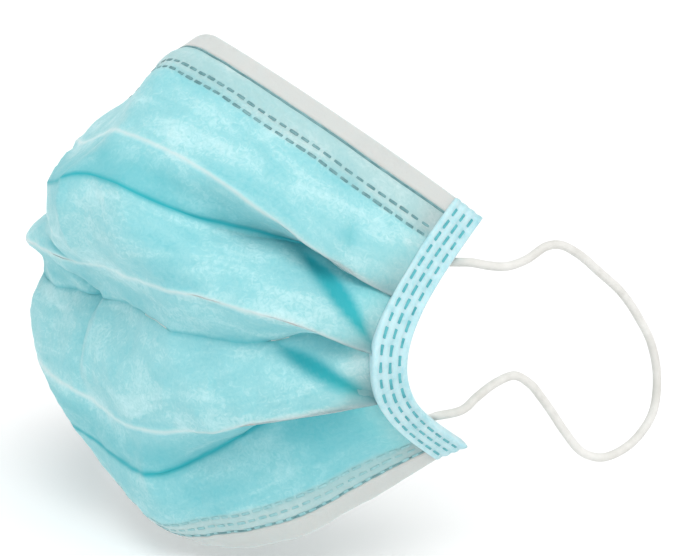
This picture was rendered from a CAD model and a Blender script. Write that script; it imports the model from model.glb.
"""A pleated surgical face mask, opened out as it is worn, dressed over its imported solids."""
import math

import bmesh
import bpy
import numpy as np
from bpy.props import FloatProperty, FloatVectorProperty, IntProperty, PointerProperty
from mathutils import Matrix, Vector, noise


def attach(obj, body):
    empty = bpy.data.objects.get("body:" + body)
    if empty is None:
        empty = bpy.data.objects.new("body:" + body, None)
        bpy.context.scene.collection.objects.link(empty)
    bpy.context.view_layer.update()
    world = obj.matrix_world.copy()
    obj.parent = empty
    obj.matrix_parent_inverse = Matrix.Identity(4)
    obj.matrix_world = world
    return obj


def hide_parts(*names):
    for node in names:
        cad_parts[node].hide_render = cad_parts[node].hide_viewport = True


bl_info = {
    "name": "Surgical Face Mask",
    "version": (1, 0, 0),
    "blender": (4, 5, 0),
    "location": "View3D > Sidebar > Mask",
    "description": "Makes a pleated surgical mask with hems, bindings, weld marks and ear loops",
    "category": "Add Mesh",
}

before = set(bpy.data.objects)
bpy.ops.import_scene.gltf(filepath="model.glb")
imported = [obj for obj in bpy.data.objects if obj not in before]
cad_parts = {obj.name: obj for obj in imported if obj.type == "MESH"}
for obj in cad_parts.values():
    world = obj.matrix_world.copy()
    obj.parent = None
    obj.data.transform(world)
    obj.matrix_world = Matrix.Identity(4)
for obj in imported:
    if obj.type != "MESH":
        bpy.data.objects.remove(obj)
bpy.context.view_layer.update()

MM = 0.001

# The opened mask, from the middle of its top edge, in millimetres
MASK_HEIGHT = 118.5
FRONT_REACH = 28.0
SEAM_TOP = {"out": 54.0, "back": 45.0, "down": 40.0}
SEAM_BOTTOM = {"out": 58.5, "back": 39.0, "down": 90.5}
SEAM_BOW = {"out": 12.0, "forward": 25.0}

# Pleats: the depth of the fold where it lies open and where it is stacked, and the angle that its
# underside makes with the panel above, in degrees
PLEAT_DEPTH = {"open": 11.5, "stacked": 10.0}
PLEAT_ANGLE = {"open": -74.0, "stacked": 78.0}

# Each line of the sheet, from its top edge to its bottom edge: shares of the sizes above. fullness and
# droop are exponents of its curve in plan and of its way down, and ease rounds that way off. opens is
# the share of the half over which the pleat lies open, and swell is how far the panel above bulges
LINES = [
    {"forward": 0.0, "down": 0.0, "seam": 0.0, "fullness": 1.8, "droop": 1.6, "ease": 0},
    {"forward": 0.89, "down": 0.17, "seam": 0.28, "fullness": 1.8, "droop": 1.6, "ease": 1,
     "opens": 0.25, "swell": 0.06},
    {"forward": 0.9, "down": 0.44, "seam": 0.51, "fullness": 2.3, "droop": 3.4, "ease": 1,
     "opens": 0.34, "swell": 0.12},
    {"forward": 0.82, "down": 0.755, "seam": 0.66, "fullness": 2.2, "droop": 1.1, "ease": 1,
     "opens": 0.2, "swell": 0.1},
    {"forward": 0.36, "down": 1.0, "seam": 1.0, "fullness": 2.3, "droop": 1.65, "ease": 1, "swell": 0.12},
]

# The slack far side is drawn in towards one level, a share of the height. The other values are shares
# of a half: where that starts, where it is whole, and where it lets go again
SLACK = {"level": 0.59, "amount": 0.16, "from": 0.15, "full": -0.2, "release": 0.5}

# Dents: a place on the sheet, along from -1 (far end) to 1 (near end) and row from 0 to 7 by panel
# and underside, its spread in both directions, and how far it moves outwards in millimetres
DENTS = [
    {"along": 0.0, "row": 1.0, "length": 0.09, "width": 0.6, "push": -3.5},
    {"along": -0.35, "row": 0.55, "length": 0.3, "width": 0.45, "push": -2.0},
    {"along": -0.28, "row": 1.2, "length": 0.22, "width": 0.4, "push": -2.5},
    {"along": -0.42, "row": 2.35, "length": 0.22, "width": 0.4, "push": -4.5},
    {"along": -0.42, "row": 3.0, "length": 0.2, "width": 0.3, "push": 3.5},
    {"along": -0.42, "row": 4.6, "length": 0.28, "width": 1.5, "push": 5.0},
    {"along": -0.3, "row": 4.4, "length": 0.1, "width": 0.4, "push": -1.0},
    {"along": -0.3, "row": 5.4, "length": 0.2, "width": 0.7, "push": 4.5},
    {"along": -0.3, "row": 2.1, "length": 0.15, "width": 0.5, "push": -2.5},
    {"along": 0.9, "row": 2.45, "length": 0.06, "width": 0.3, "push": 1.8},
    {"along": 0.9, "row": 4.45, "length": 0.06, "width": 0.3, "push": 1.2},
    {"along": 0.92, "row": 0.7, "length": 0.06, "width": 0.2, "push": 1.5},
]

# Sharp upright ridges where the cloth was folded flat, with the same values. Down a ridge, a higher
# exponent keeps its height further before it ends
RIDGES = [
    {"along": 0.03, "row": 2.2, "length": 0.05, "width": 0.85, "push": 3.0},
    {"along": -0.05, "row": 4.3, "length": 0.05, "width": 0.5, "push": 1.6},
    {"along": -0.1, "row": 4.3, "length": 0.04, "width": 0.5, "push": -1.6},
]
RIDGE_EXPONENT = 4

# Grooves run between two places on the sheet, and are pressed in by their depth
GROOVES = [
    {"start": (0.71, 2.05), "end": (1.0, 3.0), "width": 0.035, "depth": 3.0},
    {"start": (0.7, 4.0), "end": (1.0, 5.0), "width": 0.035, "depth": 2.8},
    {"start": (0.78, 0.55), "end": (0.85, 0.95), "width": 0.045, "depth": 1.2},
    {"start": (0.79, 0.62), "end": (0.95, 0.45), "width": 0.03, "depth": 0.9},
    {"start": (-0.22, 3.5), "end": (-0.04, 4.3), "width": 0.02, "depth": 1.5},
    {"start": (-0.3, 3.2), "end": (-0.12, 3.9), "width": 0.02, "depth": 1.2},
    {"start": (-0.28, 2.75), "end": (-0.1, 3.0), "width": 0.03, "depth": 1.6},
    {"start": (0.025, 1.15), "end": (0.0, 1.95), "width": 0.035, "depth": 1.9},
]

# A panel's depth against the half width of the sheet, for measuring a groove's width; the part of a
# half wave that its depth follows from end to end; and the exponent of its fall to the sides
MARK_SHARE = 0.3
GROOVE_WAVE = (0.08, 0.92)
GROOVE_EXPONENT = 1.3

# The rows at the outer folds of the three pleats
CRESTS = (1, 3, 5)

# How far apart the plies of a stacked pleat lie, and over what height above the fold they part
PLY_GAP = 0.9
PLY_EASE = 1.5

# The share of its thickness below which the cloth in a fold lies shut
SHUT_ROOM = 0.4

# Room for the lining in an outer fold: the rows above and below it that give its opening, and the
# share of the thickness that fits in the fold itself and for each millimetre away from it
LINING_ROOM = {"above": 8, "below": 5, "least": 0.02, "share": 0.25}

# Long wrinkles and small ones: their height, how closely they lie along and across, and where the
# noise is read. They fade towards the ends by an exponent, and at the top edge over a part of a row
WRINKLES = [
    {"height": 1.1, "along": 7, "across": 2.2, "at": 3.7},
    {"height": 0.35, "along": 22, "across": 6, "at": 9.1},
]
WRINKLE_FADE = {"ends": 8, "edge": 0.3}

# Colour in the folds: how much deeper under each pleat, over what reach below its lip, and how much
# more where it is stacked; how much lighter along the lip, and deeper along the inner fold, and over
# what widths; and the groove that counts in full, with the gain and the floor of its tint
FOLD_SHADE = {"under": (0.4, 0.2, 0.4), "reach": (3.0, 2.5, 16.0), "stacked": 0.3, "underside": 0.6,
              "lip": 0.55, "lip_width": 0.6, "valley": (0.8, 0.4, 0.8), "valley_width": 0.8,
              "near": 0.5, "full_groove": 3.0, "groove_gain": 1.5, "groove_floor": 0.2}

# A pleat turns from open to stacked as its inner fold rises past its lip: how far below the lip that
# starts, and the height that it takes
STACKED = {"below": 4.0, "over": 6.0}

# A hem's flap shows through the outer ply: how much at the top and the bottom edge, the width over
# which that fades, and how far the colour then goes towards white
BACKED = {"top": 0.5, "bottom": 1.0, "edge": 0.8, "tint": 0.5}

# Raised channel over the nose wire: from and to in from the top edge, its height in front and behind,
# its half length, how long the cloth is for each millimetre across the mask, and how wide its edges
# and its ends are
WIRE_CHANNEL = {"from": 5.0, "to": 9.2, "height": 0.6, "behind": 0.5, "half_length": 46.0,
                "curve": 1.12, "edge": 0.8, "end": 3.0}

# The wire: the gap to the cloth, half its thickness, and its section's sides and squareness
WIRE = {"gap": 0.1, "half_thickness": 0.35, "sides": 16, "squareness": 0.5}

# Hems: the gap under the face, the cloth, the rows of the face and the flap, the angles of the rows
# round the edge, and the length from the edge at which its direction is read
HEM_GAP = 0.1
HEM_CLOTH = 0.22
HEM_ROWS = {"face": 6, "flap": 24}
HEM_TURNS = (30, 60, 90, 120, 150)
HEM_PROBE = 1.5

# Bindings: how far one stands in front of and behind the sheet, the pressed ribs under its weld rows,
# how far the sheet reaches in and how deep it is covered, and how its edges are rounded
BINDING = {"front": 0.7, "back": 2.6, "rib": 0.3, "rib_width": 0.55, "rows": 3, "first_row": 2.1,
           "row_pitch": 2.3, "overlap": 2.5, "cover": 0.5, "rounding": 0.7, "edge": 0.35}

# The trim at the bindings: a higher exponent keeps it nearer the end, and from a share of the half
# onwards the cloth lies wholly between a binding's faces. The weld squashes the stack of plies to a
# share of its depth, and presses each ply to a share of its thickness from one share to another
TRIM = {"exponent": 6, "held_from": 0.96, "squash": 0.33,
        "pressed": 0.25, "press_from": 0.86, "press_to": 0.96}

# Weld marks: their sizes, how far they stand off the cloth, how they are rounded, the least and the
# most of their uneven size, their rows in from a hem's edge, and the part of a binding they cover
HEM_MARK = {"long": 2.1, "wide": 0.7, "high": 0.14}
SIDE_MARK = {"long": 2.5, "wide": 1.0, "high": 0.16}
MARK_RAISE = 0.02
MARK_ROUNDING = {"level": 2, "crease": 0.55}
MARK_UNEVEN = (0.82, 1.12)
HEM_MARK_ROWS = {"top": (10.3, 12.7), "bottom": (5.0, 7.2, 9.4)}
HEM_MARK_MARGIN = 2
SIDE_MARK_SPAN = (0.03, 0.97)
SEAM_LINE = {"in": 4.75, "width": 0.5, "thickness": 0.06}

# Mesh density: stations along half of the sheet, rows of a panel and of a pleat's underside, steps of
# the dense lines that are measured on the way, and places along and round a binding
STATIONS = 110
PANEL_ROWS = 22
UNDERSIDE_ROWS = 10
DENSE_STEPS = 400
EDGE_STATIONS = 121
SEAM_STEP = 0.01
BINDING_STATIONS = 90
BINDING_STEPS = 41

# Spunbond cloth, in millimetres: its filaments' grain, the pitch of its bond points, and how far red,
# green and blue light pass into it. Then how much of its colour is grain, how high its blotches are
# squeezed on the sheet, where its deep, middle and light shades lie, and how deep its pits are
SPUNBOND_MM = {"fibre": 0.5, "bond": 1.1, "light": (1.0, 1.6, 1.8)}
GRAIN_SHARE = 0.36
BLOTCH_STRETCH = (1.0, 2.6, 1.0)
SHADE_STOPS = (0.28, 0.5, 0.74)
PIT_SHARE = 0.5
POLYPROPYLENE_IOR = 1.49
LINING_SHADE = 0.92

# Where the two shades of an uneven colour lie
UNEVEN_STOPS = (0.3, 0.7)

# The courses of the knitted elastic, and how many bands a wave texture has at a scale of one
COURSE_MM = 0.9
WAVES_PER_SCALE = 20

# The near loop's route behind its binding, in millimetres
LOOP_ROUTE = [
    (59, 39, -48), (60, 43, -49), (61, 47, -49.5), (61.5, 52, -48.5), (62, 57, -46), (62.5, 60.5, -46),
    (63, 65, -48.5), (63, 71, -53.5), (63.5, 77, -59), (63.5, 82, -65.5), (63.5, 86, -72.5),
    (63.5, 88, -81), (63.5, 87, -89.5), (63, 83, -95), (63, 78, -97.5), (63, 73, -98), (62.5, 68, -96),
    (62, 63, -90), (62, 59.5, -85), (62, 56.5, -81), (62, 53.5, -77.5), (61.5, 49.5, -75),
    (61, 45, -76), (61, 40, -78.5), (61, 36, -81),
]

# Where a loop is welded, as shares down the binding, and over what length. The cord is flattened
# there, from a little before the weld and over a length, and it spreads by a part of what it loses
LOOP_WELD = {"upper": 0.12, "lower": 0.87, "length": 6.0, "gap": 0.3,
             "flattened": 0.5, "before": 1.5, "over": 3.0, "spread": 0.6}
LOOP_STEPS = {"curve": 20, "path": 420, "sides": 14}
CENTRIPETAL = 0.5

# The cloth as it was cut, between the bindings and with its pleats open
FLAT = {"width": 168.0, "length": 134.0}

# The photograph's frame and the view of it: azimuth and elevation in degrees, the distance and the
# scale at the object, and the pixel where the bridge of the nose lies
PHOTO = {"width": 675, "height": 556, "bridge": (188, 23), "azimuth": 60.0, "elevation": 15.0}
CAMERA_DISTANCE = 550.0
PIXELS_PER_MM = 4.4
SENSOR_MM = 36.0
CLIP = (0.05, 5)

# The soft light's place and width in degrees, and half the width of the floor in metres
SUN = {"azimuth": 72, "elevation": 55, "width": 40}
FLOOR_HALF = 3.0

# The sRGB curve, and the smallest length that a direction is divided by
SRGB = {"knee": 0.04045, "slope": 12.92, "offset": 0.055, "power": 2.4}
TINY = 1e-9


def srgb(text):
    """A hex colour as linear RGBA."""
    values = [int(text[i:i + 2], 16) / 255 for i in (1, 3, 5)]
    return (*(linear(value) for value in values), 1.0)


def linear(value):
    if value <= SRGB["knee"]:
        return value / SRGB["slope"]
    return ((value + SRGB["offset"]) / (1 + SRGB["offset"])) ** SRGB["power"]


def mix(a, b, share):
    return a + (b - a) * share


def smooth(share):
    share = np.clip(share, 0, 1)
    return share * share * (3 - 2 * share)


def unit(vectors):
    return vectors / np.maximum(np.linalg.norm(vectors, axis=-1, keepdims=True), TINY)


# The shape of the folded sheet


def seam_point(share):
    bow = np.sin(np.pi * share)
    return np.stack([
        mix(SEAM_TOP["out"], SEAM_BOTTOM["out"], share) + SEAM_BOW["out"] * bow,
        mix(SEAM_TOP["back"], SEAM_BOTTOM["back"], share) - SEAM_BOW["forward"] * bow,
        -mix(SEAM_TOP["down"], SEAM_BOTTOM["down"], share),
    ], axis=-1)


def running_lengths(points, power=1):
    """How far each point is along its line, with each step taken to a power."""
    return np.r_[0, np.cumsum(np.linalg.norm(np.diff(points, axis=0), axis=1) ** power)]


def evenly(points, count, short=0.0):
    """Points spaced evenly by length along a dense line, up to a length short of its end."""
    lengths = running_lengths(points)
    targets = np.linspace(0, lengths[-1] - short, count + 1)
    return np.stack([np.interp(targets, lengths, points[:, axis]) for axis in range(3)], axis=1)


def line_stations(line, short, count=STATIONS):
    """The near half of one line of the sheet, from the middle towards the welded end."""
    end = seam_point(line["seam"])
    front, height = -line["forward"] * FRONT_REACH, -line["down"] * MASK_HEIGHT
    power = 2 / line["fullness"]
    turn = np.linspace(0, math.pi / 2, DENSE_STEPS + 1)
    out = end[0] * np.sin(turn) ** power
    back = end[1] - (end[1] - front) * np.abs(np.cos(turn)) ** power
    plan = evenly(np.stack([out, back, np.zeros_like(out)], axis=1), DENSE_STEPS)
    fall = np.linspace(0, 1, DENSE_STEPS + 1) ** line["droop"]
    plan[:, 2] = mix(height, end[2], mix(fall, smooth(fall), line["ease"]))
    return evenly(plan, count, short)


def whole_line(line, short):
    """One line from the far end to the near one, its slack far half drawn in."""
    near = line_stations(line, short)
    whole = np.concatenate([near[:0:-1] * [-1, 1, 1], near])
    share = np.linspace(-1, 1, len(whole))
    rise = smooth((SLACK["from"] - share) / (SLACK["from"] - SLACK["full"]))
    fall = 1 - smooth((-share - SLACK["release"]) / (1 - SLACK["release"]))
    whole[:, 2] = mix(whole[:, 2], -SLACK["level"] * MASK_HEIGHT, SLACK["amount"] * rise * fall)
    return whole


def directions(line):
    return unit(np.gradient(line, axis=0))


def valley_line(crest, upper, opens):
    """The inner fold of a pleat, which swings from below its crest to behind the panel above."""
    share = np.abs(np.linspace(-1, 1, len(crest)))
    closed = np.clip((share - opens) / (1 - opens), 0, 1)[:, None]
    angle = np.radians(mix(PLEAT_ANGLE["open"], PLEAT_ANGLE["stacked"], closed))
    depth = mix(PLEAT_DEPTH["open"], PLEAT_DEPTH["stacked"], smooth(closed))
    climb = unit(upper - crest)
    outward = unit(np.cross(directions(crest), climb))
    return crest + depth * (climb * np.sin(angle) - outward * np.cos(angle))


def folded_sheet(binding_width):
    """Rows of the sheet from its top edge to its bottom edge, and a coordinate for each row: a whole
    number at each fold, counted from the top edge."""
    lines = [whole_line(line, binding_width) for line in LINES]
    rows, marks = [lines[0]], [0.0]
    share = np.linspace(-1, 1, len(lines[0]))[:, None]

    def fill(upper, lower, bulge, count):
        outward = unit(np.cross(directions(upper), unit(upper - lower)))
        for i in range(1, count + 1):
            part = (1 - math.cos(math.pi * i / count)) / 2
            height = bulge * FRONT_REACH * math.sin(math.pi * part) * (1 - share ** 2)
            rows.append(mix(upper, lower, part) + outward * height)
            marks.append(fold + part)

    above, fold = lines[0], 0
    for crest, line in zip(lines[1:4], LINES[1:4]):
        fill(above, crest, line["swell"], PANEL_ROWS)
        valley = valley_line(crest, above, line["opens"])
        fold += 1
        fill(crest, valley, 0.0, UNDERSIDE_ROWS)
        fold += 1
        above = valley
    fill(above, lines[4], LINES[4]["swell"], PANEL_ROWS)
    return np.array(rows), np.array(marks)


def row_at(marks, mark):
    """The row of the sheet that is nearest to a mark."""
    return int(np.argmin(np.abs(marks - mark)))


def binding_frames(shares, width):
    """The near binding's free edge at some shares of its height, with its direction across (out to
    the free edge) and its outward normal."""
    ends = np.array([unit(line_stations(line, 0)[-1] - line_stations(line, width)[-1]) for line in LINES])
    seams = [line["seam"] for line in LINES]
    across = unit(np.stack([np.interp(shares, seams, ends[:, axis]) for axis in range(3)], axis=1))
    below, above = np.minimum(1, shares + SEAM_STEP), np.maximum(0, shares - SEAM_STEP)
    down = unit(seam_point(below) - seam_point(above))
    return seam_point(shares), across, unit(np.cross(down, across))


def trim_to_binding(rows, width):
    """Draw the sheet's ends into the bindings: to one line under them, and between their faces."""
    edge, across, outward = binding_frames(np.linspace(0, 1, EDGE_STATIONS), width)
    inner = edge - across * width
    lowest, highest = BINDING["cover"] - BINDING["back"], BINDING["front"] - BINDING["cover"]
    count = rows.shape[1] // 2
    share = np.linspace(0, 1, count + 1)[:, None]
    weight = np.minimum(1, share / TRIM["held_from"]) ** TRIM["exponent"]
    for row in rows:
        for side in (-1, 1):
            last = row[count + side * count] * [side, 1, 1]
            off = last - inner
            apart = np.linalg.norm(off - across * np.sum(off * across, axis=1, keepdims=True), axis=1)
            i = apart.argmin()
            height = np.dot(off[i], outward[i])
            held = np.clip(height * TRIM["squash"], lowest, highest)
            sink = outward[i] * (held - height)
            shift = (sink - across[i] * np.dot(off[i], across[i])) * [side, 1, 1]
            half = row[count::side] if side > 0 else row[count::-1]
            half += shift * weight


def outward_ways(rows):
    """The level direction outwards from the cloth at each place."""
    ahead = np.gradient(rows, axis=1)
    return unit(np.cross(ahead, np.array([0.0, 0.0, 1.0])))


def pushed(rows, marks):
    """The sheet with its dents and bulges, grooves, creases and small wrinkles."""
    share = np.linspace(-1, 1, rows.shape[1])[None, :]
    mark = marks[:, None]
    push = np.zeros(rows.shape[:2])
    for dent in DENTS:
        a = (share - dent["along"]) / dent["length"]
        b = (mark - dent["row"]) / dent["width"]
        push += dent["push"] * np.exp(-a * a - b * b)
    for ridge in RIDGES:
        a = np.abs(share - ridge["along"]) / ridge["length"]
        b = (mark - ridge["row"]) / ridge["width"]
        push += ridge["push"] * np.exp(-a - b ** RIDGE_EXPONENT)
    for groove in GROOVES:
        push -= groove_depth(groove, share, mark)
    moved = rows + outward_ways(rows) * push[..., None]
    quiet = (1 - np.abs(share) ** WRINKLE_FADE["ends"]) * (1 - np.exp(-mark / WRINKLE_FADE["edge"]))
    small = sum(wrinkle_heights(wrinkle, share[0], marks) for wrinkle in WRINKLES) * quiet
    return moved + surface_normals(moved) * small[..., None]


def wrinkle_heights(wrinkle, shares, marks):
    """One size of wrinkle at each place of the sheet."""
    along, across, at = wrinkle["along"], wrinkle["across"], wrinkle["at"]
    heights = [[noise.noise(Vector((s * along, m * across, at))) for s in shares] for m in marks]
    return wrinkle["height"] * np.array(heights)


def keep_plies_apart(rows, marks):
    """Hold each ply that is folded behind a panel clear of it."""
    for fold in CRESTS:
        crest = row_at(marks, fold)
        panel = np.flatnonzero((marks >= fold - 1) & (marks <= fold))
        behind = np.flatnonzero((marks > fold) & (marks <= fold + 2))
        gaps = np.where(marks[behind] < fold + 1, PLY_GAP, 2 * PLY_GAP)
        climb = unit(rows[panel[0]] - rows[crest])
        outward = unit(np.cross(directions(rows[crest]), climb))
        for j in range(rows.shape[1]):
            front = rows[panel, j] - rows[crest, j]
            back = rows[behind, j] - rows[crest, j]
            heights = front @ climb[j]
            order = np.argsort(heights)
            above = back @ climb[j]
            limit = np.interp(above, heights[order], (front @ outward[j])[order])
            limit -= gaps * np.clip(above / PLY_EASE, 0, 1)
            excess = np.where(above > 0, np.maximum(0, back @ outward[j] - limit), 0)
            rows[behind, j] -= excess[:, None] * outward[j]


def groove_depth(groove, share, mark):
    """How deep one groove is at each place of the sheet."""
    (s0, m0), (s1, m1) = groove["start"], groove["end"]
    line = np.array([s1 - s0, (m1 - m0) * MARK_SHARE])
    offset = np.stack(np.broadcast_arrays(share - s0, (mark - m0) * MARK_SHARE), axis=-1)
    part = np.clip(offset @ line / (line @ line), 0, 1)
    apart = np.linalg.norm(offset - part[..., None] * line, axis=-1)
    fade = np.sin(np.pi * mix(*GROOVE_WAVE, part))
    return groove["depth"] * fade * np.exp(-(apart / groove["width"]) ** GROOVE_EXPONENT)


def surface_normals(rows):
    """Outward normals of a grid of rows, each row running from the far end to the near one."""
    ahead = np.gradient(rows, axis=1)
    down = np.gradient(rows, axis=0)
    return unit(np.cross(down, ahead))


# Meshes and materials


def make_object(name, vertices, faces, materials, uv=None):
    """A mesh object at the origin from places in millimetres."""
    mesh = bpy.data.meshes.new(name)
    mesh.from_pydata((np.asarray(vertices) * MM).tolist(), [], faces)
    for material in materials:
        mesh.materials.append(material)
    if uv is not None:
        layer = mesh.uv_layers.new(name="cloth")
        corners = np.zeros(len(mesh.loops), dtype=np.int32)
        mesh.loops.foreach_get("vertex_index", corners)
        layer.data.foreach_set("uv", np.asarray(uv, dtype=np.float32)[corners].ravel())
    mesh.polygons.foreach_set("use_smooth", [True] * len(mesh.polygons))
    mesh.update()
    piece = bpy.data.objects.new(name, mesh)
    bpy.context.scene.collection.objects.link(piece)
    return piece


def grid_faces(rows, columns, closed=False):
    """The quads of a grid, which may close on itself along its columns."""
    faces = []
    for r in range(rows - 1):
        for c in range(columns if closed else columns - 1):
            d = (c + 1) % columns
            faces.append((r * columns + c, (r + 1) * columns + c, (r + 1) * columns + d, r * columns + d))
    return faces


def apply_modifiers(piece):
    """Replace a piece's mesh by its evaluated one, and clear its modifiers."""
    graph = bpy.context.evaluated_depsgraph_get()
    mesh = bpy.data.meshes.new_from_object(piece.evaluated_get(graph))
    piece.modifiers.clear()
    piece.data = mesh
    return piece


def add_node(tree, kind, settings=None, values=None, links=None):
    """Add a node with its settings, input values and incoming links."""
    node = tree.nodes.new(kind)
    for name, value in (settings or {}).items():
        setattr(node, name, value)
    for name, value in (values or {}).items():
        node.inputs[name].default_value = value
    for name, socket in (links or {}).items():
        tree.links.new(socket, node.inputs[name])
    return node


def new_material(name):
    material = bpy.data.materials.new(name)
    material.use_nodes = True
    material.node_tree.nodes.clear()
    return material, material.node_tree


def finished(material, tree, values, links):
    """Close a material with its surface."""
    shader = add_node(tree, "ShaderNodeBsdfPrincipled", values=values, links=links)
    add_node(tree, "ShaderNodeOutputMaterial", links={"Surface": shader.outputs[0]})
    return material


def noise_node(tree, size_mm, place, **values):
    """Noise whose blotches are about a size across."""
    named = {name.replace("_", " ").title(): value for name, value in values.items()}
    return add_node(tree, "ShaderNodeTexNoise", values={"Scale": 1 / (size_mm * MM), **named},
                    links={"Vector": place})


def uneven_colour(tree, place, size_mm, detail, shades):
    """One shade that turns unevenly into another, in blotches of about a size."""
    uneven = noise_node(tree, size_mm, place, detail=detail)
    return ramp(tree, uneven.outputs["Fac"], [*zip(UNEVEN_STOPS, shades)])


def ramp(tree, factor, stops):
    """A colour ramp through (position, colour) stops."""
    node = add_node(tree, "ShaderNodeValToRGB", links={"Fac": factor})
    elements = node.color_ramp.elements
    elements[0].position, elements[0].color = stops[0]
    elements[1].position, elements[1].color = stops[-1]
    for position, colour in stops[1:-1]:
        elements.new(position).color = colour
    return node.outputs["Color"]


def cloth_share(tree, name, factor):
    """A number of the cloth times a factor, held between 0 and 1."""
    read = add_node(tree, "ShaderNodeAttribute", {"attribute_name": name}).outputs["Fac"]
    held = add_node(tree, "ShaderNodeMath", {"operation": "MULTIPLY", "use_clamp": True},
                    {1: factor}, {0: read})
    return held.outputs[0]


def tinted(tree, colour, share, tint):
    """A colour mixed towards a fixed one."""
    node = add_node(tree, "ShaderNodeMix", {"data_type": "RGBA"}, {7: tint}, {"Factor": share, 6: colour})
    return node.outputs[2]


def tinted_by_folds(tree, colour, folds):
    """Mix a colour towards white where a flap shows through from behind, towards the deep one in the
    folds, and towards the pale one on their lips."""
    deep, pale, white = folds
    colour = tinted(tree, colour, cloth_share(tree, "backed", BACKED["tint"]), white)
    colour = tinted(tree, colour, cloth_share(tree, "folded", 1.0), deep)
    return tinted(tree, colour, cloth_share(tree, "folded", -1.0), pale)


def spunbond_colour(tree, place, shades, blotch_mm, fibre_mm, stretched):
    """Soft blotches where the filaments lie thick or thin, with their fibrous grain. On the sheet
    the blotches follow the cloth and are longer than they are high."""
    laid = place
    if stretched:
        flat = add_node(tree, "ShaderNodeUVMap", {"uv_map": "cloth"}).outputs["UV"]
        laid = add_node(tree, "ShaderNodeVectorMath", {"operation": "MULTIPLY"}, {1: BLOTCH_STRETCH},
                        {0: flat}).outputs[0]
    blotch = noise_node(tree, blotch_mm, laid, detail=5.0, roughness=0.56, distortion=0.6)
    grain = noise_node(tree, fibre_mm * 3, place, detail=4.0, roughness=0.65, distortion=1.5)
    both = add_node(tree, "ShaderNodeMix", {"data_type": "FLOAT"}, {"Factor": GRAIN_SHARE},
                    {"A": blotch.outputs["Fac"], "B": grain.outputs["Fac"]})
    return ramp(tree, both.outputs[0], [*zip(SHADE_STOPS, shades)])


def spunbond_bump(tree, place, bond_mm, fibre_mm):
    """The relief of the cloth: pits at its bond points, and filaments between them."""
    bonds = add_node(tree, "ShaderNodeTexVoronoi", {"feature": "F1"},
                     {"Scale": 1 / (bond_mm * MM), "Randomness": 0.35}, {"Vector": place})
    pits = add_node(tree, "ShaderNodeMapRange",
                    values={"From Min": 0.0, "From Max": 0.45, "To Min": 0.0, "To Max": 1.0},
                    links={"Value": bonds.outputs["Distance"]})
    fibres = noise_node(tree, fibre_mm, place, detail=3.0, distortion=2.5)
    relief = add_node(tree, "ShaderNodeMath", {"operation": "MULTIPLY_ADD"}, {1: PIT_SHARE},
                      {0: pits.outputs[0], 2: fibres.outputs["Fac"]})
    bump = add_node(tree, "ShaderNodeBump", values={"Strength": 0.35, "Distance": 0.12 * MM},
                    links={"Height": relief.outputs[0]})
    return bump.outputs[0]


def spunbond(name, light, middle, deep, blotch_mm=20.0, roughness=0.72, folds=None):
    """Polypropylene spunbond: continuous filaments laid at random and bonded at a grid of points.
    Where they lie thick the colour is deeper, and light passes a little way into it."""
    material, tree = new_material(name)
    place = add_node(tree, "ShaderNodeTexCoord").outputs["Object"]
    shades = (deep, middle, light)
    colour = spunbond_colour(tree, place, shades, blotch_mm, SPUNBOND_MM["fibre"], bool(folds))
    if folds:
        colour = tinted_by_folds(tree, colour, folds)
    normal = spunbond_bump(tree, place, SPUNBOND_MM["bond"], SPUNBOND_MM["fibre"])
    values = {"Roughness": roughness, "IOR": POLYPROPYLENE_IOR, "Subsurface Weight": 0.5,
              "Subsurface Radius": tuple(depth * MM for depth in SPUNBOND_MM["light"]),
              "Subsurface Scale": 1.0, "Sheen Weight": 0.15, "Sheen Roughness": 0.5}
    return finished(material, tree, values, {"Base Color": colour, "Normal": normal})


def film(name, *colours):
    """A weld: filaments melted to a thin smooth film, darker and glossier than the cloth."""
    material, tree = new_material(name)
    place = add_node(tree, "ShaderNodeTexCoord").outputs["Object"]
    shades = [srgb(colour) for colour in colours]
    tint = uneven_colour(tree, place, size_mm=1.5, detail=2.0, shades=shades)
    return finished(material, tree, {"Roughness": 0.4, "IOR": POLYPROPYLENE_IOR}, {"Base Color": tint})


def knitted_elastic(name, light, dark):
    """Round knitted elastic: textured yarn looped over rubber, with fine courses round the cord."""
    material, tree = new_material(name)
    along = add_node(tree, "ShaderNodeUVMap", {"uv_map": "cloth"}).outputs["UV"]
    courses = add_node(tree, "ShaderNodeTexWave", {"wave_type": "BANDS", "bands_direction": "X"},
                       {"Scale": 1 / (COURSE_MM * MM) / WAVES_PER_SCALE, "Distortion": 1.5,
                        "Detail": 2.0, "Detail Scale": 3.0}, {"Vector": along})
    place = add_node(tree, "ShaderNodeTexCoord").outputs["Object"]
    colour = uneven_colour(tree, place, size_mm=6, detail=3.0, shades=(dark, light))
    bump = add_node(tree, "ShaderNodeBump", values={"Strength": 0.4, "Distance": 0.1 * MM},
                    links={"Height": courses.outputs["Fac"]})
    return finished(material, tree, {"Roughness": 0.8, "Sheen Weight": 0.2},
                    {"Base Color": colour, "Normal": bump.outputs[0]})


def plain(name, colour, roughness):
    """A smooth even surface, as of coated wire or of paper."""
    material, tree = new_material(name)
    return finished(material, tree, {"Base Color": srgb(colour), "Roughness": roughness}, {})


# Sizes and colours that a user would change


def length(name, about, default, low, high):
    """A length in metres that a user would change."""
    return FloatProperty(name=name, description=about + ", in metres", default=default, min=low,
                         max=high, precision=5, unit="LENGTH")


def shade(name, about, colour):
    """A colour that a user would change."""
    return FloatVectorProperty(name=name, description=about, subtype="COLOR", size=4, default=srgb(colour))


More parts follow.
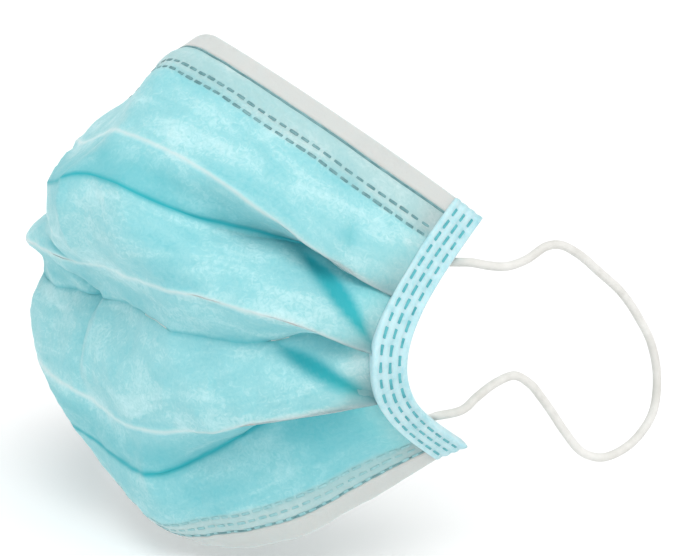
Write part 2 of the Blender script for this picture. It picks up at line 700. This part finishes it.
class MaskClothSettings(bpy.types.PropertyGroup):
    thickness: length("Cloth thickness", "Thickness of the bonded plies", 0.0004, 0.0002, 0.001)
    light: shade("Light aqua", "Colour where the filaments lie thin", "#CBE7EA")
    middle: shade("Aqua", "Main colour of the outer ply", "#93C9CE")
    deep: shade("Deep aqua", "Colour where the filaments lie thick", "#70BAC2")
    fold: shade("Fold teal", "Colour where the pleats lie stacked", "#1FA3AC")
    white: shade("Lining white", "Colour of the inner ply", "#D3DEDC")


class MaskHemSettings(bpy.types.PropertyGroup):
    face: length("Hem face", "Width of a hem on the outside", 0.0045, 0.002, 0.01)
    top_flap: length("Top flap", "Width of the top hem's flap behind", 0.013, 0.01, 0.02)
    bottom_flap: length("Bottom flap", "Width of the bottom hem's flap behind", 0.010, 0.006, 0.02)
    wire_width: length("Wire width", "Width of the coated nose wire", 0.0036, 0.002, 0.006)
    wire_length: length("Wire length", "Length of the nose wire", 0.092, 0.06, 0.12)


class MaskWeldSettings(bpy.types.PropertyGroup):
    width: length("Binding width", "Width of a side binding", 0.0085, 0.005, 0.012)
    pitch: length("Side pitch", "From one weld mark to the next on a binding", 0.0037, 0.002, 0.006)
    hem_pitch: length("Hem pitch", "From one weld mark to the next on a hem", 0.0029, 0.002, 0.006)
    seed: IntProperty(name="Seed", description="Seed for the unevenness of the weld marks", default=4, min=0)


class MaskLoopSettings(bpy.types.PropertyGroup):
    diameter: length("Cord diameter", "Diameter of the elastic cord", 0.002, 0.001, 0.004)
    colour: shade("Elastic", "Colour of the elastic", "#E2E1DD")


class MaskStageSettings(bpy.types.PropertyGroup):
    key: FloatProperty(name="Key light", description="Strength of the soft light, in watts per square metre",
                       default=1.6, min=0.0)
    world: FloatProperty(name="Surroundings", description="Strength of the white surroundings",
                         default=0.75, min=0.0)
    floor: FloatProperty(name="Floor height", description="Height of the floor, in metres",
                         default=-0.1225, unit="LENGTH")


# Shapes of the pieces


def shaped_sheet(width):
    """The whole sheet in millimetres, each place with its outward normal, and the rows' marks."""
    rows, marks = folded_sheet(width)
    rows = pushed(rows, marks)
    keep_plies_apart(rows, marks)
    trim_to_binding(rows, width - BINDING["overlap"])
    normals = surface_normals(rows)
    cloth = np.concatenate([rows, normals], axis=-1)
    across = channel_share(cloth_lengths(cloth))
    middle_out = np.abs(rows[0, :, 0]) * WIRE_CHANNEL["curve"]
    reach = smooth((WIRE_CHANNEL["half_length"] - middle_out) / WIRE_CHANNEL["end"])
    cloth[..., :3] += normals * (WIRE_CHANNEL["height"] * across * reach)[..., None]
    return cloth, marks


def channel_share(distances):
    """1 over the nose wire and 0 beside it, at some lengths in from the edge."""
    edge = WIRE_CHANNEL["edge"]
    return smooth((distances - WIRE_CHANNEL["from"]) / edge) * smooth((WIRE_CHANNEL["to"] - distances) / edge)


def cloth_lengths(cloth):
    """How far each place is in from the first row, over the cloth."""
    steps = np.linalg.norm(np.diff(cloth[..., :3], axis=0), axis=-1)
    return np.concatenate([np.zeros((1, cloth.shape[1])), np.cumsum(steps, axis=0)])


def in_from_edge(cloth, distances):
    """The places and normals at some lengths in from the first row."""
    lengths = cloth_lengths(cloth)
    found = np.empty((len(distances), cloth.shape[1], cloth.shape[2]))
    for j in range(cloth.shape[1]):
        for axis in range(cloth.shape[2]):
            found[:, j, axis] = np.interp(distances, lengths[:, j], cloth[:, j, axis])
    found[..., 3:] = unit(found[..., 3:])
    return found


def hem_grid(cloth, face, flap, thickness, channel):
    """A hem's section at each station: up its face, round the edge and down the flap behind."""
    outer = in_from_edge(cloth, np.linspace(face, 0, HEM_ROWS["face"]))
    inner_at = np.linspace(0, flap, HEM_ROWS["flap"])
    inner = in_from_edge(cloth, inner_at)
    inward = unit(in_from_edge(cloth, [HEM_PROBE])[0, :, :3] - cloth[0, :, :3])
    behind = thickness + HEM_GAP
    radius = (behind + HEM_GAP) / 2
    rows = [row[:, :3] + row[:, 3:] * HEM_GAP for row in outer]
    centre = cloth[0, :, :3] - cloth[0, :, 3:] * thickness / 2
    for turn in np.radians(HEM_TURNS):
        rows.append(centre + radius * (cloth[0, :, 3:] * math.cos(turn) - inward * math.sin(turn)))
    lifts = WIRE_CHANNEL["behind"] * channel_share(inner_at) * channel
    for row, lift in zip(inner, lifts):
        rows.append(row[:, :3] - row[:, 3:] * (behind + lift))
    return np.array(rows)


def room_for_lining(cloth, marks, thickness):
    """The share of the cloth's thickness that fits at each place without passing the ply folded
    against it, inside the folds that point outwards."""
    room = np.ones(cloth.shape[:2])
    for fold in CRESTS:
        crest = row_at(marks, fold)
        above = cloth[crest - LINING_ROOM["above"], :, :3] - cloth[crest, :, :3]
        below = cloth[crest + LINING_ROOM["below"], :, :3] - cloth[crest, :, :3]
        opening = np.linalg.norm(unit(above) - unit(below), axis=-1)
        near = np.flatnonzero(np.abs(marks - fold) <= 1)
        away = np.linalg.norm(cloth[near, :, :3] - cloth[crest, :, :3], axis=-1)
        fits = LINING_ROOM["least"] + LINING_ROOM["share"] * away * opening / thickness
        room[near] = np.minimum(room[near], fits)
    share = np.abs(np.linspace(-1, 1, cloth.shape[1]))
    near_weld = smooth((share - TRIM["press_from"]) / (TRIM["press_to"] - TRIM["press_from"]))
    return np.clip(room, 0, 1) * mix(1, TRIM["pressed"], near_weld)


def thicken(piece, thickness, offset, inner_slot=0, room=None):
    """Give a sheet its thickness."""
    solid = piece.modifiers.new("Thickness", "SOLIDIFY")
    if room is not None:
        group = piece.vertex_groups.new(name="room")
        for i, share in enumerate(room.ravel()):
            group.add([i], float(share), "REPLACE")
        solid.vertex_group = group.name
    solid.thickness = thickness * MM
    solid.offset = offset
    solid.material_offset = inner_slot
    solid.use_quality_normals = True
    return apply_modifiers(piece)


def strip_piece(name, grid, thickness, materials):
    """A thin strip of cloth over a grid of places, thickened outwards."""
    rows, columns = grid.shape[:2]
    piece = make_object(name, grid.reshape(-1, 3), grid_faces(rows, columns), materials)
    return thicken(piece, thickness, 1)


def tube_piece(name, rings, materials):
    """A closed solid through rings of the same number of points, with its ends capped."""
    count, size = rings.shape[:2]
    faces = grid_faces(count, size, closed=True)
    faces.append(tuple(range(size)))
    faces.append(tuple(reversed(range((count - 1) * size, count * size))))
    along = np.repeat(running_lengths(rings.mean(axis=1)), size)
    around = np.tile(np.linspace(0, 1, size, endpoint=False), count)
    piece = make_object(name, rings.reshape(-1, 3), faces, materials, np.stack([along * MM, around], axis=1))
    make_faces_point_out(piece)
    return piece


def make_faces_point_out(piece):
    """Turn a closed mesh's faces round if it has a negative volume."""
    mesh = bmesh.new()
    mesh.from_mesh(piece.data)
    if mesh.calc_volume(signed=True) < 0:
        bmesh.ops.reverse_faces(mesh, faces=mesh.faces)
    mesh.to_mesh(piece.data)
    mesh.free()


def place_piece(piece, slot_name, *nodes):
    """Attach a piece to the object's one body, in the place of its solids."""
    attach(piece, "root")
    if nodes:
        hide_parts(*nodes)
    return piece


def remake(name):
    """Remove an earlier piece of this name, so that an operator can run again."""
    old = bpy.data.objects.get(name)
    if old is not None:
        bpy.data.objects.remove(old, do_unlink=True)


def cloth_materials(settings):
    blue = spunbond("blue_spunbond", tuple(settings.light), tuple(settings.middle), tuple(settings.deep),
                    folds=(tuple(settings.fold), tuple(settings.light), tuple(settings.white)))
    white = lining("white_lining", tuple(settings.white))
    return blue, white


def lining(name, colour):
    """The inner ply: the same spunbond without dye, off-white and very even."""
    darker = (*(c * LINING_SHADE for c in colour[:3]), 1.0)
    return spunbond(name, colour, colour, darker, roughness=0.8)


def folded_share(cloth, marks):
    """How deep in a fold each place lies: 1 under a pleat or in a groove, 0 in the open, and below
    0 on the lip of a pleat or a ridge."""
    share = np.linspace(-1, 1, cloth.shape[1])[None, :]
    mark = marks[:, None]
    depth = np.zeros(cloth.shape[:2])
    shades = zip(CRESTS, FOLD_SHADE["under"], FOLD_SHADE["valley"], FOLD_SHADE["reach"])
    for fold, under, line, reach in shades:
        crest, valley = row_at(marks, fold), row_at(marks, fold + 1)
        below = np.maximum(0, cloth[crest, :, 2][None, :] - cloth[..., 2])
        rise = cloth[valley, :, 2] - cloth[crest, :, 2]
        stacked = FOLD_SHADE["stacked"] * smooth((rise + STACKED["below"]) / STACKED["over"])
        next_panel = (mark > fold + 1) & (mark <= fold + 2)
        depth += np.where(next_panel, (under + stacked) * np.exp(-below / reach), 0)
        on_underside = smooth((mark - fold) / FOLD_SHADE["underside"]) * (mark <= fold + 1)
        depth += under * on_underside
        away = np.linalg.norm(cloth[..., :3] - cloth[crest, None, :, :3], axis=-1)
        lip = FOLD_SHADE["lip"] * np.exp(-(away / FOLD_SHADE["lip_width"]) ** 2)
        depth -= np.where(np.abs(mark - fold) < FOLD_SHADE["near"], lip, 0)
        away = np.linalg.norm(cloth[..., :3] - cloth[valley, None, :, :3], axis=-1)
        crease = line * np.exp(-(away / FOLD_SHADE["valley_width"]) ** 2)
        depth += np.where(np.abs(mark - fold - 1) < FOLD_SHADE["near"], crease, 0)
    for groove in GROOVES:
        part = groove_depth(groove, share, mark) / FOLD_SHADE["full_groove"]
        depth += smooth(part * FOLD_SHADE["groove_gain"] - FOLD_SHADE["groove_floor"])
    return np.clip(depth, -1, 1)


def backed_share(cloth, top_flap, bottom_flap):
    """1 where a hem's white flap lies behind the outer ply and shows through it."""
    from_top, from_bottom = cloth_lengths(cloth), cloth_lengths(cloth[::-1])[::-1]
    top = BACKED["top"] * smooth((top_flap - from_top) / BACKED["edge"])
    bottom = BACKED["bottom"] * smooth((bottom_flap - from_bottom) / BACKED["edge"])
    return np.maximum(top, bottom)


def add_attribute(piece, name, values):
    """A number for each vertex, for the material to read. The shell behind has the same ones."""
    attribute = piece.data.attributes.new(name, "FLOAT", "POINT")
    attribute.data.foreach_set("value", np.asarray(values, dtype=np.float32).ravel())


def shut_share(cloth, marks, room):
    """1 in a pleat's crest where its plies are stacked shut. A ply in front hides the lining there
    from outside, and the ply behind it hides it from inside."""
    shut = np.zeros(cloth.shape[:2])
    for fold in CRESTS:
        crest, valley = row_at(marks, fold), row_at(marks, fold + 1)
        stacked = cloth[valley, :, 2] > cloth[crest, :, 2]
        near = np.flatnonzero(np.abs(marks - fold) <= 1)
        shut[near] += stacked[None, :] & (room[near] < SHUT_ROOM)
    return np.clip(shut, 0, 1)


def hide_shut_lining(piece):
    """Give the inner faces of the stacked crests the outer ply, so none shows past the fold."""
    mesh = piece.data
    shut = np.zeros(len(mesh.vertices), dtype=np.float32)
    mesh.attributes["shut"].data.foreach_get("value", shut)
    for face in mesh.polygons:
        if face.material_index == 1 and shut[list(face.vertices)].max() > 0:
            face.material_index = 0


def make_sheet(context):
    remake("sheet_cloth")
    settings, width = context.scene.mask_cloth, context.scene.mask_welds.width / MM
    cloth, marks = shaped_sheet(width)
    rows, columns = cloth.shape[:2]
    half = np.linspace(-1, 1, columns) * FLAT["width"] / 2
    down = cloth_lengths(cloth).mean(axis=1)
    flat = np.stack(np.broadcast_arrays(half[None, :], down[:, None]), axis=-1).reshape(-1, 2)
    piece = make_object("sheet_cloth", cloth[..., :3].reshape(-1, 3), grid_faces(rows, columns),
                        cloth_materials(settings), flat * MM)
    add_attribute(piece, "folded", folded_share(cloth, marks))
    hems = context.scene.mask_hems
    add_attribute(piece, "backed", backed_share(cloth, hems.top_flap / MM, hems.bottom_flap / MM))
    thickness = settings.thickness / MM
    room = room_for_lining(cloth, marks, thickness)
    add_attribute(piece, "shut", shut_share(cloth, marks, room))
    thicken(piece, thickness, -1, inner_slot=1, room=room)
    hide_shut_lining(piece)
    place_piece(piece, "blue_nonwoven", "pleated_sheet")
    return piece


def make_hems(context):
    cloth_settings, settings = context.scene.mask_cloth, context.scene.mask_hems
    cloth, _ = shaped_sheet(context.scene.mask_welds.width / MM)
    thickness = cloth_settings.thickness / MM
    white = lining("white_hem", srgb("#CBD7D6"))
    under = cloth[::-1].copy()
    for name, edge, flap, channel in (("top_hem", cloth, settings.top_flap, True),
                                      ("bottom_hem", under, settings.bottom_flap, False)):
        remake(name + "_cloth")
        grid = hem_grid(edge, settings.face / MM, flap / MM, thickness, channel)
        if not channel:
            grid = grid[:, ::-1]
        place_piece(strip_piece(name + "_cloth", grid, HEM_CLOTH, [white]), "white_nonwoven", name)


def make_wire(context):
    remake("coated_nose_wire")
    settings = context.scene.mask_hems
    cloth, _ = shaped_sheet(context.scene.mask_welds.width / MM)
    middle = (WIRE_CHANNEL["from"] + WIRE_CHANNEL["to"]) / 2
    half, thick = settings.wire_width / MM / 2, WIRE["half_thickness"]
    places = in_from_edge(cloth, [middle - half, middle, middle + half])
    arc = running_lengths(places[1, :, :3])
    kept = np.abs(arc - arc[len(arc) // 2]) <= settings.wire_length / MM / 2
    low, centre, high = (places[i][kept] for i in range(3))
    across, outward = unit(high[:, :3] - low[:, :3]), centre[:, 3:]
    depth = context.scene.mask_cloth.thickness / MM + WIRE["gap"] + thick
    turn = np.linspace(0, 2 * math.pi, WIRE["sides"], endpoint=False)
    widths, heights = squared(np.cos(turn)) * half, squared(np.sin(turn)) * thick - depth
    rings = np.stack([centre[:, :3] + across * a + outward * b for a, b in zip(widths, heights)], axis=1)
    # White polyethylene drawn over thin steel wires
    coating = plain("wire_coating", "#EEF0F0", 0.45)
    place_piece(tube_piece("coated_nose_wire", rings, [coating]), "coated_wire", "nose_wire")


def squared(values):
    """A circle's values drawn towards a square's."""
    return np.sign(values) * np.abs(values) ** WIRE["squareness"]


def binding_section(width):
    """A binding's section: in from its free edge, and outwards from the sheet."""
    inset = np.linspace(0, width, BINDING_STEPS)
    rows = BINDING["first_row"] + BINDING["row_pitch"] * np.arange(BINDING["rows"])
    ribs = np.exp(-((inset - rows[:, None]) / BINDING["rib_width"]) ** 2).sum(axis=0)
    rounding = np.minimum(1, np.minimum(inset, width - inset) / BINDING["rounding"])
    lift = mix(BINDING["edge"], 1, np.sqrt(1 - (1 - rounding) ** 2))
    front = (BINDING["front"] - BINDING["rib"] * ribs) * lift
    back = BINDING["rib"] * ribs - BINDING["back"] * lift
    return [*zip(inset, front), *zip(inset[::-1], back[::-1])]


def binding_point(shares, width, inset, height):
    edge, across, outward = binding_frames(shares, width)
    return edge - across * inset + outward * height


def make_bindings(context):
    width = context.scene.mask_welds.width / MM
    # The bindings are the same spunbond, folded round the stacked plies and pressed flat
    material = spunbond("bonded_binding", srgb("#C6E0E5"), srgb("#B4D8DE"), srgb("#93C8D0"), blotch_mm=4.0)
    shares = np.linspace(0, 1, BINDING_STATIONS)
    for side, name in ((1, "side_binding_left"), (-1, "side_binding_right")):
        remake(name + "_cloth")
        rings = np.stack([binding_point(shares, width, *p) for p in binding_section(width)], axis=1)
        rings = rings * [side, 1, 1]
        place_piece(tube_piece(name + "_cloth", rings, [material]), "welded_nonwoven", name)


def polylines(name, lines):
    """A piece of loose lines, each a pair of places and outward normals, for weld marks to follow."""
    vertices, edges, outs = [], [], []
    for places, normals in lines:
        start = len(vertices)
        vertices.extend(places)
        outs.extend(normals)
        edges.extend((start + i, start + i + 1) for i in range(len(places) - 1))
    mesh = bpy.data.meshes.new(name)
    mesh.from_pydata((np.array(vertices) * MM).tolist(), edges, [])
    attribute = mesh.attributes.new("out", "FLOAT_VECTOR", "POINT")
    attribute.data.foreach_set("vector", np.array(outs, dtype=np.float32).ravel())
    piece = bpy.data.objects.new(name, mesh)
    bpy.context.scene.collection.objects.link(piece)
    return piece


def weld_mark_tree():
    """Geometry Nodes: a pressed weld mark at each pitch along the lines, turned to follow them."""
    tree = bpy.data.node_groups.new("weld_marks", "GeometryNodeTree")
    face = tree.interface
    face.new_socket(name="Geometry", in_out="INPUT", socket_type="NodeSocketGeometry")
    for label in ("Pitch", "Long", "Wide", "High"):
        face.new_socket(name=label, in_out="INPUT", socket_type="NodeSocketFloat")
    face.new_socket(name="Seed", in_out="INPUT", socket_type="NodeSocketInt")
    face.new_socket(name="Material", in_out="INPUT", socket_type="NodeSocketMaterial")
    face.new_socket(name="Geometry", in_out="OUTPUT", socket_type="NodeSocketGeometry")
    given = add_node(tree, "NodeGroupInput").outputs
    curve = add_node(tree, "GeometryNodeMeshToCurve", links={"Mesh": given["Geometry"]})
    points = add_node(tree, "GeometryNodeResampleCurve", {"mode": "LENGTH"},
                      links={"Curve": curve.outputs["Curve"], "Length": given["Pitch"]})
    tangent = add_node(tree, "GeometryNodeInputTangent")
    out = add_node(tree, "GeometryNodeInputNamedAttribute", {"data_type": "FLOAT_VECTOR"}, {"Name": "out"})
    ahead = add_node(tree, "FunctionNodeAlignRotationToVector", {"axis": "X"},
                     links={"Vector": tangent.outputs["Tangent"]})
    facing = add_node(tree, "FunctionNodeAlignRotationToVector", {"axis": "Z", "pivot_axis": "X"},
                      links={"Rotation": ahead.outputs["Rotation"], "Vector": out.outputs["Attribute"]})
    block = add_node(tree, "GeometryNodeMeshCube", values={"Size": (1.0, 1.0, 1.0)})
    mark = add_node(tree, "GeometryNodeSubdivisionSurface", values={"Level": MARK_ROUNDING["level"],
                                                                  "Edge Crease": MARK_ROUNDING["crease"]},
                    links={"Mesh": block.outputs["Mesh"]})
    uneven = add_node(tree, "FunctionNodeRandomValue", {"data_type": "FLOAT"}, links={"Seed": given["Seed"]})
    uneven.inputs[2].default_value, uneven.inputs[3].default_value = MARK_UNEVEN
    size = add_node(tree, "ShaderNodeCombineXYZ",
                    links={"X": given["Long"], "Y": given["Wide"], "Z": given["High"]})
    scaled = add_node(tree, "ShaderNodeVectorMath", {"operation": "SCALE"},
                      links={"Vector": size.outputs[0], "Scale": uneven.outputs[1]})
    placed = add_node(tree, "GeometryNodeInstanceOnPoints",
                      links={"Points": points.outputs["Curve"], "Instance": mark.outputs["Mesh"],
                             "Rotation": facing.outputs["Rotation"], "Scale": scaled.outputs[0]})
    real = add_node(tree, "GeometryNodeRealizeInstances", links={"Geometry": placed.outputs["Instances"]})
    smoothed = add_node(tree, "GeometryNodeSetShadeSmooth", links={"Geometry": real.outputs["Geometry"]})
    painted = add_node(tree, "GeometryNodeSetMaterial",
                       links={"Geometry": smoothed.outputs["Geometry"], "Material": given["Material"]})
    add_node(tree, "NodeGroupOutput", links={"Geometry": painted.outputs["Geometry"]})
    return tree


def weld_marks(name, lines, mark, pitch, material, seed, tree):
    """Weld marks along lines, as a plain mesh."""
    remake(name)
    piece = polylines(name, lines)
    modifier = piece.modifiers.new("Weld marks", "NODES")
    modifier.node_group = tree
    values = {"Pitch": pitch, "Long": mark["long"] * MM, "Wide": mark["wide"] * MM,
              "High": mark["high"] * MM, "Seed": seed, "Material": material}
    for item in tree.interface.items_tree:
        if item.in_out == "INPUT" and item.name in values:
            modifier[item.identifier] = values[item.name]
    apply_modifiers(piece)
    return place_piece(piece, "welded_nonwoven")


def rows_on_cloth(cloth, distances):
    """Lines over the cloth at some lengths in from its edge, raised a little off it."""
    kept = in_from_edge(cloth, distances)[:, HEM_MARK_MARGIN:-HEM_MARK_MARGIN]
    return [(row[:, :3] + row[:, 3:] * MARK_RAISE, row[:, 3:]) for row in kept]


def make_seam_lines(cloth, material):
    """The thin welded lines along the inner edges of the two hems."""
    for name, edge, turned in (("top_seam_line", cloth, False), ("bottom_seam_line", cloth[::-1], True)):
        remake(name)
        found = in_from_edge(edge, np.linspace(0, SEAM_LINE["width"], 3) + SEAM_LINE["in"])
        grid = found[:, :, :3] + found[:, :, 3:] * MARK_RAISE
        grid = grid[::-1] if turned else grid
        place_piece(strip_piece(name, grid, SEAM_LINE["thickness"], [material]), "welded_nonwoven")


def make_welds(context):
    settings = context.scene.mask_welds
    width = settings.width / MM
    cloth, _ = shaped_sheet(width)
    tree = weld_mark_tree()
    grey = film("hem_weld_film", "#6F9EA2", "#4F7F84")
    teal = film("binding_weld_film", "#5FB6BE", "#3E9AA4")
    pale = film("bottom_weld_film", "#9CC9CC", "#7FB4B9")
    make_seam_lines(cloth, grey)
    hem_rows = (("top_weld_marks", cloth, HEM_MARK_ROWS["top"], grey),
                ("bottom_weld_marks", cloth[::-1], HEM_MARK_ROWS["bottom"], pale))
    for i, (name, edge, distances, weld) in enumerate(hem_rows):
        lines = rows_on_cloth(edge, distances)
        weld_marks(name, lines, HEM_MARK, settings.hem_pitch, weld, settings.seed + i, tree)
    for side, name in ((1, "side_weld_marks_left"), (-1, "side_weld_marks_right")):
        lines = binding_rows(width, side)
        weld_marks(name, lines, SIDE_MARK, settings.pitch, teal, settings.seed + len(hem_rows), tree)


def binding_rows(width, side):
    """Lines down a binding's ribs, in front and behind, raised a little off it."""
    shares = np.linspace(*SIDE_MARK_SPAN, BINDING_STATIONS)
    outward = binding_frames(shares, width)[2]
    front, back = BINDING["front"] - BINDING["rib"], BINDING["back"] - BINDING["rib"]
    lines = []
    for i in range(BINDING["rows"]):
        inset = BINDING["first_row"] + BINDING["row_pitch"] * i
        for height, sign in ((front, 1), (back, -1)):
            places = binding_point(shares, width, inset, (height + MARK_RAISE) * sign)
            lines.append((places * [side, 1, 1], outward * sign * [side, 1, 1]))
    return lines


def spline(points, count):
    """A centripetal Catmull-Rom curve through the points, spaced evenly."""
    points = np.array(points, dtype=float)
    padded = np.concatenate([[2 * points[0] - points[1]], points, [2 * points[-1] - points[-2]]])
    dense = []
    for i in range(len(points) - 1):
        p = padded[i:i + 4]
        t = running_lengths(p, CENTRIPETAL)
        for u in np.linspace(t[1], t[2], LOOP_STEPS["curve"], endpoint=False):
            a = [mix(p[k], p[k + 1], (u - t[k]) / (t[k + 1] - t[k])) for k in range(3)]
            b = [mix(a[k], a[k + 1], (u - t[k]) / (t[k + 2] - t[k])) for k in range(2)]
            dense.append(mix(b[0], b[1], (u - t[1]) / (t[2] - t[1])))
    dense.append(points[-1])
    return evenly(np.array(dense), count)


def tube_rings(path, radius, flats):
    """Rings of a round tube along a path. flats gives a direction and how far it is flattened."""
    ahead = unit(np.gradient(path, axis=0))
    normal = unit(np.cross(ahead[0], [0.0, 0.0, 1.0]))
    turn = np.linspace(0, 2 * math.pi, LOOP_STEPS["sides"], endpoint=False)
    rings = []
    for place, way, (flat_way, keep) in zip(path, ahead, flats):
        normal = unit(normal - way * np.dot(normal, way))
        side = np.cross(way, normal)
        ring = radius * (np.outer(np.cos(turn), normal) + np.outer(np.sin(turn), side))
        ring += np.outer(ring @ flat_way * (keep - 1), flat_way)
        side_way = unit(np.cross(way, flat_way))
        ring += np.outer(ring @ side_way * (1 - keep) * LOOP_WELD["spread"], side_way)
        rings.append(place + ring)
    return np.array(rings)


def make_loops(context):
    settings = context.scene.mask_loops
    width = context.scene.mask_welds.width / MM
    radius = settings.diameter / MM / 2
    behind = -BINDING["back"] - LOOP_WELD["gap"] - radius
    ends, outs = [], []
    for share in (LOOP_WELD["upper"], LOOP_WELD["lower"]):
        place = np.array([share])
        ends.append([binding_point(place, width, inset, behind)[0]
                     for inset in (LOOP_WELD["length"], LOOP_WELD["length"] / 2, 0)])
        outs.append(binding_frames(place, width)[2][0])
    path = spline([*ends[0], *LOOP_ROUTE, *ends[1][::-1]], LOOP_STEPS["path"])
    whole = np.linalg.norm(np.diff(path, axis=0), axis=1).sum()
    arc = np.linspace(0, whole, len(path))
    past_weld = np.minimum(arc, whole - arc) - LOOP_WELD["length"] + LOOP_WELD["before"]
    keep = mix(LOOP_WELD["flattened"], 1, smooth(past_weld / LOOP_WELD["over"]))
    material = knitted_elastic("knitted_elastic", tuple(settings.colour), srgb("#CFCEC8"))
    for side, name in ((1, "ear_loop_left"), (-1, "ear_loop_right")):
        remake(name + "_elastic")
        flats = [(outs[0] if a < whole / 2 else outs[1], k) for a, k in zip(arc, keep)]
        rings = tube_rings(path, radius, flats) * [side, 1, 1]
        piece = place_piece(tube_piece(name + "_elastic", rings, [material]), "elastic", name)


def way_towards(azimuth, elevation):
    """The direction from the object towards an azimuth and elevation in degrees."""
    turn, rise = math.radians(azimuth), math.radians(elevation)
    return Vector((math.sin(turn) * math.cos(rise), -math.cos(turn) * math.cos(rise), math.sin(rise)))


def photo_camera():
    """The camera of the photograph: same azimuth, elevation, distance and scale."""
    turn = math.radians(PHOTO["azimuth"])
    right = Vector((math.cos(turn), math.sin(turn), 0))
    back = way_towards(PHOTO["azimuth"], PHOTO["elevation"])
    above = back.cross(right)
    off_right = (PHOTO["width"] / 2 - PHOTO["bridge"][0]) / PIXELS_PER_MM
    off_down = (PHOTO["height"] / 2 - PHOTO["bridge"][1]) / PIXELS_PER_MM
    target = right * off_right - above * off_down
    data = bpy.data.cameras.new("Camera")
    data.sensor_width = SENSOR_MM
    data.sensor_fit = "HORIZONTAL"
    data.lens = SENSOR_MM * PIXELS_PER_MM * CAMERA_DISTANCE / PHOTO["width"]
    data.clip_start, data.clip_end = CLIP
    camera = bpy.data.objects.new("Camera", data)
    matrix = Matrix((right, above, back)).transposed().to_4x4()
    matrix.translation = (target + back * CAMERA_DISTANCE) * MM
    camera.matrix_world = matrix
    bpy.context.scene.collection.objects.link(camera)
    bpy.context.scene.camera = camera


def soft_sun(strength):
    """A wide soft light from above the camera."""
    data = bpy.data.lights.new("key", "SUN")
    data.energy = strength
    data.angle = math.radians(SUN["width"])
    light = bpy.data.objects.new("key", data)
    light.rotation_euler = way_towards(SUN["azimuth"], SUN["elevation"]).to_track_quat("Z", "Y").to_euler()
    bpy.context.scene.collection.objects.link(light)


def make_stage(context):
    settings = context.scene.mask_stage
    photo_camera()
    context.scene.view_settings.view_transform = "Standard"
    corners = [(x * FLOOR_HALF, y * FLOOR_HALF) for x, y in ((-1, -1), (1, -1), (1, 1), (-1, 1))]
    places = [(x / MM, y / MM, settings.floor / MM) for x, y in corners]
    floor = make_object("floor", places, [(0, 1, 2, 3)], [plain("white_paper", "#FFFFFF", 0.95)])
    world = bpy.data.worlds.new("studio")
    bpy.context.scene.world = world
    world.use_nodes = True
    world.node_tree.nodes.clear()
    sky = add_node(world.node_tree, "ShaderNodeBackground",
                   values={"Color": (1, 1, 1, 1), "Strength": settings.world})
    add_node(world.node_tree, "ShaderNodeOutputWorld", links={"Surface": sky.outputs[0]})
    soft_sun(settings.key)


# Operators and panel


class MaskOperator:
    """Makes some pieces, one after another."""
    makers = ()

    def execute(self, context):
        for make in self.makers:
            make(context)
        return {"FINISHED"}


class MESH_OT_mask_sheet(MaskOperator, bpy.types.Operator):
    """Make the pleated sheet"""
    bl_idname = "mesh.mask_sheet"
    bl_label = "Pleated sheet"
    makers = (make_sheet,)


class MESH_OT_mask_hems(MaskOperator, bpy.types.Operator):
    """Make the top and bottom hems and the nose wire"""
    bl_idname = "mesh.mask_hems"
    bl_label = "Hems and nose wire"
    makers = (make_hems, make_wire)


class MESH_OT_mask_bindings(MaskOperator, bpy.types.Operator):
    """Make the two side bindings"""
    bl_idname = "mesh.mask_bindings"
    bl_label = "Side bindings"
    makers = (make_bindings,)


class MESH_OT_mask_welds(MaskOperator, bpy.types.Operator):
    """Make the weld marks on the hems and bindings"""
    bl_idname = "mesh.mask_welds"
    bl_label = "Weld marks"
    makers = (make_welds,)


class MESH_OT_mask_loops(MaskOperator, bpy.types.Operator):
    """Make the two ear loops"""
    bl_idname = "mesh.mask_loops"
    bl_label = "Ear loops"
    makers = (make_loops,)


class SCENE_OT_mask_stage(MaskOperator, bpy.types.Operator):
    """Make the floor, lights and camera"""
    bl_idname = "scene.mask_stage"
    bl_label = "Stage"
    makers = (make_stage,)


class VIEW3D_PT_face_mask(bpy.types.Panel):
    bl_label = "Surgical Face Mask"
    bl_idname = "VIEW3D_PT_face_mask"
    bl_space_type = "VIEW_3D"
    bl_region_type = "UI"
    bl_category = "Mask"

    def draw(self, context):
        for name in SETTINGS:
            settings = getattr(context.scene, name)
            box = self.layout.box()
            for key in settings.__annotations__:
                box.prop(settings, key)
        for operator in OPERATORS:
            self.layout.operator(operator.bl_idname)


SETTINGS = {
    "mask_cloth": MaskClothSettings,
    "mask_hems": MaskHemSettings,
    "mask_welds": MaskWeldSettings,
    "mask_loops": MaskLoopSettings,
    "mask_stage": MaskStageSettings,
}
OPERATORS = [MESH_OT_mask_sheet, MESH_OT_mask_hems, MESH_OT_mask_bindings, MESH_OT_mask_welds,
             MESH_OT_mask_loops, SCENE_OT_mask_stage]


def register():
    for kind in (*SETTINGS.values(), *OPERATORS, VIEW3D_PT_face_mask):
        bpy.utils.register_class(kind)
    for name, kind in SETTINGS.items():
        setattr(bpy.types.Scene, name, PointerProperty(type=kind))


def unregister():
    for name in SETTINGS:
        delattr(bpy.types.Scene, name)
    for kind in reversed((*SETTINGS.values(), *OPERATORS, VIEW3D_PT_face_mask)):
        bpy.utils.unregister_class(kind)


def main():
    register()
    bpy.ops.scene.mask_stage()
    bpy.ops.mesh.mask_loops()
    bpy.ops.mesh.mask_sheet()
    bpy.ops.mesh.mask_hems()
    bpy.ops.mesh.mask_bindings()
    bpy.ops.mesh.mask_welds()


if __name__ == "__main__":
    main()
